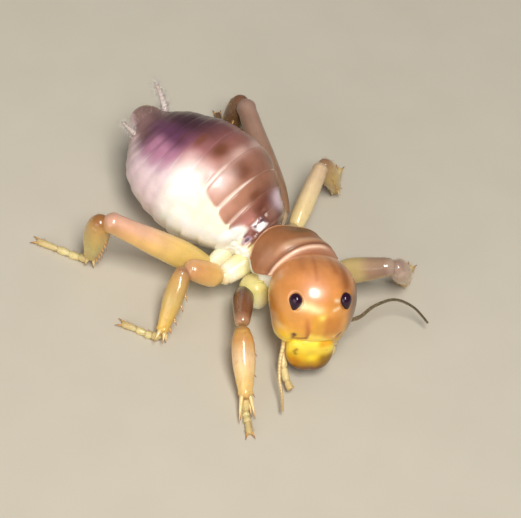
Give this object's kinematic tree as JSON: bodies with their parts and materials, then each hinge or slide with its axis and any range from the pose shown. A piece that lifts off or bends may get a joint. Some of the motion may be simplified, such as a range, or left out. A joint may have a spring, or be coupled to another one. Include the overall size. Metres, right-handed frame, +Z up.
{
  "type": "wingless cricket",
  "caption": "Wingless burrowing cricket with a large round head, swollen banded abdomen, spiny shins, short feelers and tail feelers, standing still in a natural pose.",
  "frame": {"origin": "middle of the rectangle that the model covers on the ground, at ground level under its feet", "axes": "+Z up from the ground, -Y the way the animal faces, +X its left side"},
  "size_m": [0.0302, 0.0328, 0.0113],
  "materials": {
    "head_capsule": "glossy amber-orange shell",
    "eyes": "glossy purple-black",
    "labrum": "glossy bright yellow lip",
    "mandibles": "glossy amber-brown",
    "soft_mouthparts": "soft pale cream, slightly see-through",
    "antennae": "satin honey, beaded",
    "thorax": "satin mauve-brown back with pale cream sides",
    "pronotum": "glossy orange-brown shell with a paler front rim",
    "abdomen": "satin mauve and brown bands with pale joints and a cream belly",
    "cerci": "pale, finely haired",
    "coxae": "satin pale cream",
    "femora": "glossy honey shading to mauve-brown at the knees",
    "tibiae": "glossy honey with brown spines",
    "tarsi": "pale cream with brown claws"
  },
  "bodies": {
    "root": {"head": "head_capsule", "eye_left": "eyes", "eye_right": "eyes", "labrum": "labrum", "mandible_left": "mandibles", "mandible_right": "mandibles", "labium": "soft_mouthparts", "maxillary_palp_left": "soft_mouthparts", "maxillary_palp_right": "soft_mouthparts", "antenna_left": "antennae", "antenna_right": "antennae", "prothorax": "thorax", "mesothorax": "thorax", "metathorax": "thorax", "pronotum": "pronotum", "abdomen": "abdomen", "abdomen_tip": "abdomen", "cercus_left": "cerci", "cercus_right": "cerci", "front_right_coxa": "coxae", "front_right_femur": "femora", "front_right_tibia": "tibiae", "front_right_tarsus": "tarsi", "front_left_coxa": "coxae", "front_left_femur": "femora", "front_left_tibia": "tibiae", "front_left_tarsus": "tarsi", "mid_right_coxa": "coxae", "mid_right_femur": "femora", "mid_right_tibia": "tibiae", "mid_right_tarsus": "tarsi", "mid_left_coxa": "coxae", "mid_left_femur": "femora", "mid_left_tibia": "tibiae", "mid_left_tarsus": "tarsi", "hind_right_coxa": "coxae", "hind_right_femur": "femora", "hind_right_tibia": "tibiae", "hind_right_tarsus": "tarsi", "hind_left_coxa": "coxae", "hind_left_femur": "femora", "hind_left_tibia": "tibiae", "hind_left_tarsus": "tarsi"}
  },
  "joints": []
}
